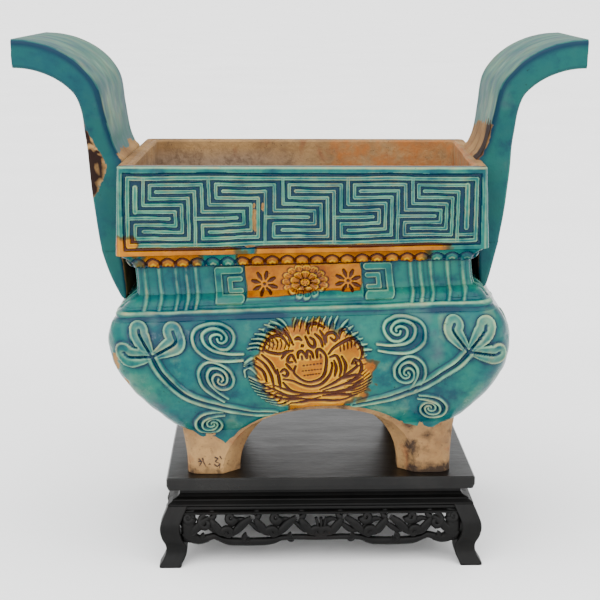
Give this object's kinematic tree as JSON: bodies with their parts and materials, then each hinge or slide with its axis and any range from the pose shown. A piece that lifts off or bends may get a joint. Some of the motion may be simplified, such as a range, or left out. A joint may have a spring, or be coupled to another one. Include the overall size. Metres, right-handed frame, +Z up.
{
  "type": "glazed incense burner",
  "caption": "Rectangular glazed pottery incense burner with flaring strap handles, key-fret rim and carved belly, on a pierced wooden stand.",
  "frame": {"origin": "on the surface the stand rests on, under the middle of the whole footprint, handles included", "axes": "+Z up, the front with the lotus faces -Y, +X to the right as seen from the front"},
  "size_m": [0.4332, 0.2388, 0.4053],
  "materials": {
    "glazed_clay": "glossy turquoise and amber glaze, bare clay feet",
    "board_wood": "worn black lacquer",
    "trim_wood": "carved black wood",
    "leg_wood": "polished black wood"
  },
  "bodies": {
    "root": {"censer": "glazed_clay", "stand_board": "board_wood", "stand_waist_front": "trim_wood", "stand_waist_back": "trim_wood", "stand_waist_left": "trim_wood", "stand_waist_right": "trim_wood", "stand_apron_front": "trim_wood", "stand_apron_back": "trim_wood", "stand_apron_left": "trim_wood", "stand_apron_right": "trim_wood", "stand_leg_front_left": "leg_wood", "stand_leg_front_right": "leg_wood", "stand_leg_back_left": "leg_wood", "stand_leg_back_right": "leg_wood"}
  },
  "joints": []
}
